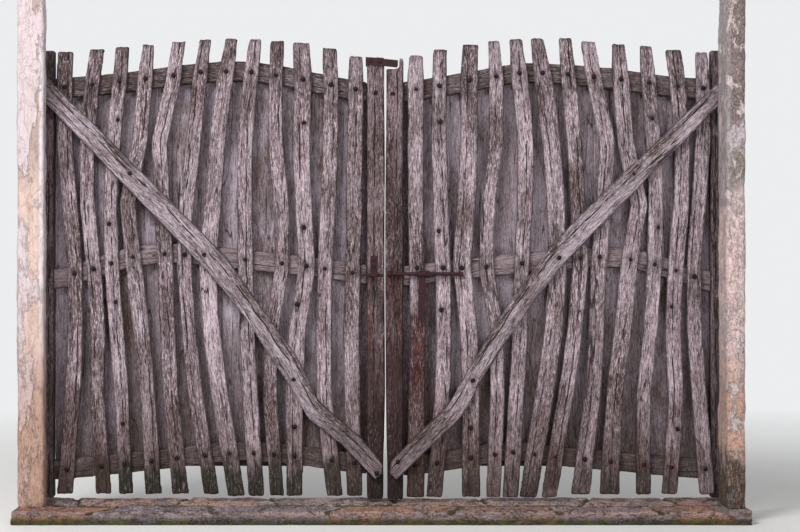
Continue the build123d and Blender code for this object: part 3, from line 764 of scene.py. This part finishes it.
# forged rose-head nails: one head is modelled, then copied to each nail of the CAD
nailLook = dict(radius=0.0125, crown=0.0045, rise=0.0085, sides=7, lift=0.001, dent=0.0009, dentRate=2.7,
                dentDepth=0.6, dentDrop=0.8, bevel=0.0012, segments=2, turn=1.9)


def nailHead():
    bpy.ops.object.select_all(action="DESELECT")
    centre = (0, nailLook["rise"] / -2 + nailLook["lift"], 0)
    bpy.ops.mesh.primitive_cone_add(vertices=nailLook["sides"], radius1=nailLook["radius"],
                                    radius2=nailLook["crown"], depth=nailLook["rise"], location=centre,
                                    rotation=(math.pi / 2, 0, 0))
    head = bpy.context.active_object
    bpy.ops.object.transform_apply(location=True, rotation=True, scale=True)
    for vertex in head.data.vertices:  # hammer blows, none alike
        dent = math.sin(vertex.index * nailLook["dentRate"]) * nailLook["dent"]
        vertex.co += Vector((dent, abs(dent) * nailLook["dentDepth"], -dent * nailLook["dentDrop"]))
    bevel = head.modifiers.new("hammered", "BEVEL")
    bevel.width = nailLook["bevel"]
    bevel.segments = nailLook["segments"]
    bevel.limit_method = "NONE"
    applyAll(head)
    return head


head = nailHead()
for side in ("left", "right"):
    heads = []
    for count, (x, z) in enumerate(nailSpots("nails_" + side)):
        copy = head.copy()
        copy.data = head.data.copy()
        bpy.context.scene.collection.objects.link(copy)
        turn = Matrix.Rotation(count * nailLook["turn"], 4, "Y")
        copy.data.transform(Matrix.Translation((x, nailDepths[side][count], z)) @ turn)
        heads.append(copy)
    bpy.ops.object.select_all(action="DESELECT")
    for copy in heads:
        copy.select_set(True)
    bpy.context.view_layer.objects.active = heads[0]
    bpy.ops.object.join()
    heads[0].name = heads[0].data.name = f"forgedNails{side.title()}"
    finishPiece(heads[0], "leaf_" + side, "nail_iron", nailIron, "nails_" + side)
bpy.data.objects.remove(head)
print("nails done")

for node in ("hinge_straps_left", "hinge_straps_right", "hinge_pintles", "head_strap", "bolt_keeper",
             "bolt_staples", "bolt_rod", "bolt_hasp"):
    frame["nodes"][node].data.materials.clear()
    frame["nodes"][node].data.materials.append(rustyIron)

lumps = noiseTexture("lumps", 0.16, 2)
crumbs = noiseTexture("crumbs", 0.035, 3)
strata = noiseTexture("strata", 0.11, 2)
evenGuide = guideEmpty("evenGuide", 0, 1)
strataGuide = guideEmpty("strataGuide", 0, 0.12)
# flags of the sill, in millimetres: the long joint from left to right, and the joints on both sides of it;
# "rim" is a painted highlight along the front edge, "skirt" the mossy face below it
flagLook = dict(
    long=((-1568, -108), (-1160, -122), (-905, -104), (-560, -128), (-180, -112), (215, -132), (640, -106),
          (1010, -126), (1568, -100)),
    front=(((-1245, -290), (-1130, -122)), ((-720, -290), (-745, -115)), ((-235, -290), (-160, -112)),
           ((290, -290), (345, -124)), ((760, -290), (700, -110)), ((1190, -290), (1100, -122))),
    back=(((-1310, -117), (-1370, 110)), ((-905, -104), (-860, 110)), ((-430, -122), (-520, 110)),
          ((30, -122), (75, 110)), ((470, -116), (430, 110)), ((860, -118), (925, 110)),
          ((1300, -112), (1255, 110))),
    frontTints=((0.40, 0.185, 0.110), (0.28, 0.230, 0.260), (0.275, 0.220, 0.240), (0.44, 0.225, 0.150),
                (0.35, 0.200, 0.160), (0.29, 0.215, 0.220), (0.43, 0.210, 0.130)),
    backTints=((0.31, 0.175, 0.135), (0.47, 0.265, 0.205), (0.48, 0.285, 0.225), (0.43, 0.300, 0.280),
               (0.46, 0.265, 0.210), (0.47, 0.305, 0.260), (0.43, 0.270, 0.225), (0.33, 0.185, 0.145)),
    uneven=1.5, frontSpread=120, backSpread=60, frontDrop=5, backDrop=1.5, groove=7, jointWidth=6.6,
    jointChange=2.6, jointReach=2.3, jointTop=(40, 10),
    edgeReach=1.5, highlightStart=5, highlightWidth=18, highlightEnd=8, paler=1.06, edgeHighlight=0.55,
    rim=(-266, 14), rimTop=(36, 10), rimColour=(0.60, 0.42, 0.36), rimShare=0.7,
    skirt=(34, 16), skirtFront=-270, layered=(45, 8), layeredEnd=(1450, 10), brightest=0.6, limewash=0.45)


def blendTint(tint, share, colour):
    share = share[:, None]
    tint[:, :3] = tint[:, :3] * (1 - share) + np.array(colour) * share


def paintFlags(piece):
    look = flagLook
    points = vertexArray(piece.data) * 1000
    x, y, z = points[:, 0], points[:, 1], points[:, 2]
    longXs, longYs = zip(*look["long"])
    inFront = y < np.interp(x, longXs, longYs)
    tint = np.ones((len(points), 4))
    for mask, joints, tints in ((inFront, look["front"], look["frontTints"]),
                                (~inFront, look["back"], look["backTints"])):
        place = sum((x > xa + (xb - xa) * (y - ya) / (yb - ya)).astype(int) for (xa, ya), (xb, yb) in joints)
        tint[mask, :3] = np.array(tints)[place[mask]]
    # each flag lies at a height of its own, worked out from its tint
    frontHeight = np.sin(tint[:, 0] * look["frontSpread"]) * look["uneven"] - look["frontDrop"]
    backHeight = np.sin(2 + tint[:, 1] * look["backSpread"]) * look["uneven"] - look["backDrop"]
    sunk = np.where(inFront, frontHeight, backHeight)
    near = np.full(len(points), 1e9)
    x, y = x + 5 * np.sin(y / 13 + x / 41), y + 4 * np.sin(x / 19) + 3 * np.sin(x / 7.3)  # broken flag edges
    lines = list(zip(look["long"], look["long"][1:])) + list(look["front"]) + list(look["back"])
    for (xa, ya), (xb, yb) in lines:
        t = np.clip(((x - xa) * (xb - xa) + (y - ya) * (yb - ya)) / ((xb - xa) ** 2 + (yb - ya) ** 2), 0, 1)
        near = np.minimum(near, np.hypot(x - xa - t * (xb - xa), y - ya - t * (yb - ya)))
    wide = look["jointWidth"] + look["jointChange"] * np.sin(x / 67 + y / 29)  # some gape, others are tight
    joint = np.clip(look["jointReach"] - near / wide, 0, 1) * rising(z, *look["jointTop"])
    edge = look["edgeReach"] * wide  # where the painted highlight beside a flag's joint begins
    # a painted highlight lightens each flag a little way in from its joints
    edgeHighlight = rising(near, edge, look["highlightStart"]) * falling(near, edge + look["highlightWidth"], look["highlightEnd"])
    tint[:, :3] *= look["paler"] + look["edgeHighlight"] * edgeHighlight[:, None]
    skirt = falling(z, *look["skirt"]) * (y < look["skirtFront"])
    # painted highlight along the sill's front edge
    rim = falling(y, *look["rim"]) * rising(z, *look["rimTop"])
    blendTint(tint, look["rimShare"] * rim, look["rimColour"])
    layered = rising(z, *look["layered"]) * falling(np.abs(x), *look["layeredEnd"])
    points[:, 2] += (sunk - look["groove"] * joint) * layered
    piece.data.vertices.foreach_set("co", (points / 1000).ravel())
    piece.data.update()
    tint[:, :3] = np.minimum(tint[:, :3], look["brightest"])
    setColour(piece, "tint", tint)
    setFloat(piece, "joint", np.maximum(joint, skirt))
    sameAll(piece, limewash=look["limewash"])


# each jamb's colours from the top down: the colour, the height below which it shows, and how softly
jambTints = {
    "left": (((0.40, 0.310, 0.285), 9, 1), ((0.66, 0.495, 0.435), 1.6, 0.2),
             ((0.45, 0.285, 0.222), 0.80, 0.35)),
    "right": (((0.22, 0.165, 0.160), 9, 1), ((0.66, 0.57, 0.62), 1.705, 0.012),
              ((0.27, 0.23, 0.205), 1.615, 0.02), ((0.92, 0.68, 0.66), 1.47, 0.10),
              ((0.66, 0.385, 0.28), 0.78, 0.25))}
# a white bead runs along the left jamb's opening, a smoother grey strip along the right one's
jambLook = dict(
    ragged=((0.012, 95, 0), (0.010, 210, 60)), limewash=0.47,
    leftLimewash=0.335, higher=0.125, highFrom=(1.45, 0.2), outward=0.17, width=0.1,
    bead=(0.021, 0.003), beadFrom=(0.6, 0.5), beadColour=(0.74, 0.67, 0.70),
    strip=(0.030, 0.006), stripFrom=1.35, stripColour=(0.42, 0.37, 0.385), stripShare=0.8)


def paintJamb(piece, side):
    look = jambLook
    points = vertexArray(piece.data)
    x, y, z = points[:, 0], points[:, 1], points[:, 2]
    tint = np.ones((len(points), 4))
    ragged = sum(size * np.sin(x * rate + y * skew) for size, rate, skew in look["ragged"])
    for colour, top, soft in jambTints[side]:
        blendTint(tint, falling(z - ragged, top, soft), colour)
    white = np.full(len(points), look["limewash"])
    if side == "left":  # limewash clings to the upper half
        fromEdge = x.max() - x
        white = look["leftLimewash"] + look["higher"] * rising(z, *look["highFrom"])
        white = white + look["outward"] * np.clip(fromEdge / look["width"], 0, 1)
        blendTint(tint, falling(fromEdge, *look["bead"]) * rising(z, *look["beadFrom"]), look["beadColour"])
    else:
        width, soft = look["strip"]
        strip = falling(x, x.min() + width, soft) * (z > look["stripFrom"])
        blendTint(tint, look["stripShare"] * strip, look["stripColour"])
    setFloat(piece, "limewash", white)
    setColour(piece, "tint", tint)
    sameAll(piece, joint=0.0)


strataPush = 0.011
crumbShare = 0.5
for node, name, slot, look, voxel, push in (
        ("jamb_left", "jambLeft", "limewashed_stone", "left", 0.010, 0.012),
        ("jamb_right", "jambRight", "grey_stone", "right", 0.010, 0.014),
        ("threshold", "thresholdFlags", "flagstone", "sill", 0.0075, 0.008)):
    piece = copyNode(node, name)
    layers = [(lumps, push), (crumbs, push * crumbShare)]
    if look == "sill":
        layers.append((strata, strataPush, strataGuide))
    roughen(piece, voxel, layers, evenGuide)
    if look == "sill":
        paintFlags(piece)
    else:
        paintJamb(piece, look)
    finishPiece(piece, "frame", slot, stones[look], node)
print("stone done")

for guide in (uprightGuide, levelGuide, *braceGuides.values(), evenGuide, strataGuide):
    bpy.data.objects.remove(guide)

stageLook = dict(floor=(0.70, 0.69, 0.67, 1), behind=(0.84, 0.85, 0.86, 1), sky=(0.95, 0.97, 1.0, 1),
                 light=0.45, size=40, rough=0.9, fade=(2.2, 6.0))
bpy.ops.object.select_all(action="DESELECT")
bpy.ops.mesh.primitive_plane_add(size=stageLook["size"])
floor = bpy.context.active_object
floor.name = "floor"
material, tree, shader = newMaterial("floorPaint")
shader.inputs["Base Color"].default_value = stageLook["floor"]
shader.inputs["Roughness"].default_value = stageLook["rough"]
place = addNode(tree, "ShaderNodeTexCoord")  # far from the gate the floor turns into the backdrop
far = addNode(tree, "ShaderNodeVectorMath", operation="LENGTH", Vector=place.outputs["Object"])
rays = addNode(tree, "ShaderNodeLightPath")
fade = span(tree, far.outputs["Value"], *stageLook["fade"])
faded = maths(tree, "MULTIPLY", fade, rays.outputs["Is Camera Ray"])
backdrop = addNode(tree, "ShaderNodeEmission", Color=stageLook["behind"])
chooser = addNode(tree, "ShaderNodeMixShader", Fac=faded)
tree.links.new(shader.outputs["BSDF"], chooser.inputs[1])
tree.links.new(backdrop.outputs["Emission"], chooser.inputs[2])
tree.links.new(chooser.outputs["Shader"], tree.nodes["Material Output"].inputs["Surface"])
floor.data.materials.append(material)

world = bpy.data.worlds.new("softRoom")
bpy.context.scene.world = world
world.use_nodes = True
tree = world.node_tree
room = tree.nodes["Background"]
room.inputs["Color"].default_value = stageLook["sky"]
room.inputs["Strength"].default_value = stageLook["light"]
seen = addNode(tree, "ShaderNodeBackground", Color=stageLook["behind"], Strength=1)
rays = addNode(tree, "ShaderNodeLightPath").outputs
direct = maths(tree, "MAXIMUM", rays["Is Camera Ray"], rays["Is Glossy Ray"])
direct = maths(tree, "MAXIMUM", direct, rays["Is Transmission Ray"])
chooser = addNode(tree, "ShaderNodeMixShader", Fac=direct)
tree.links.new(room.outputs["Background"], chooser.inputs[1])
tree.links.new(seen.outputs["Background"], chooser.inputs[2])
tree.links.new(chooser.outputs["Shader"], tree.nodes["World Output"].inputs["Surface"])

for name, energy, size, place, aim in (
        ("keyLight", 450, 2.6, (-2.8, -4.8, 5.4), (0, 0, 1.0)),
        ("fillLight", 150, 4.0, (2.6, -6.6, 2.2), (0, 0, 1.0)),
        ("backLight", 110, 4.0, (-1.8, 6.8, 3.4), (0, 0, 1.4))):
    lamp = bpy.data.lights.new(name, "AREA")
    lamp.energy = energy
    lamp.size = size
    holder = bpy.data.objects.new(name, lamp)
    holder.location = place
    holder.rotation_euler = (Vector(aim) - Vector(place)).to_track_quat("-Z", "Y").to_euler()
    bpy.context.scene.collection.objects.link(holder)

cameraLook = dict(place=(0.079, -7.024, 1.098), lens=71.6, sensor=36)
camera = bpy.data.cameras.new("photoView")
camera.lens = cameraLook["lens"]
camera.sensor_width = cameraLook["sensor"]
cameraHolder = bpy.data.objects.new("photoView", camera)
cameraHolder.location = cameraLook["place"]
cameraHolder.rotation_euler = (math.pi / 2, 0, 0)
bpy.context.scene.collection.objects.link(cameraHolder)
bpy.context.scene.camera = cameraHolder
bpy.context.scene.view_settings.view_transform = "Standard"
print("stage set")

shown = [thing for thing in bpy.data.objects if thing.type == "MESH" and not thing.hide_render]
sizes = sorted(((sum(len(face.vertices) - 2 for face in thing.data.polygons), thing.name) for thing in shown),
               reverse=True)
print("triangles", sum(count for count, name in sizes), sizes[:4])
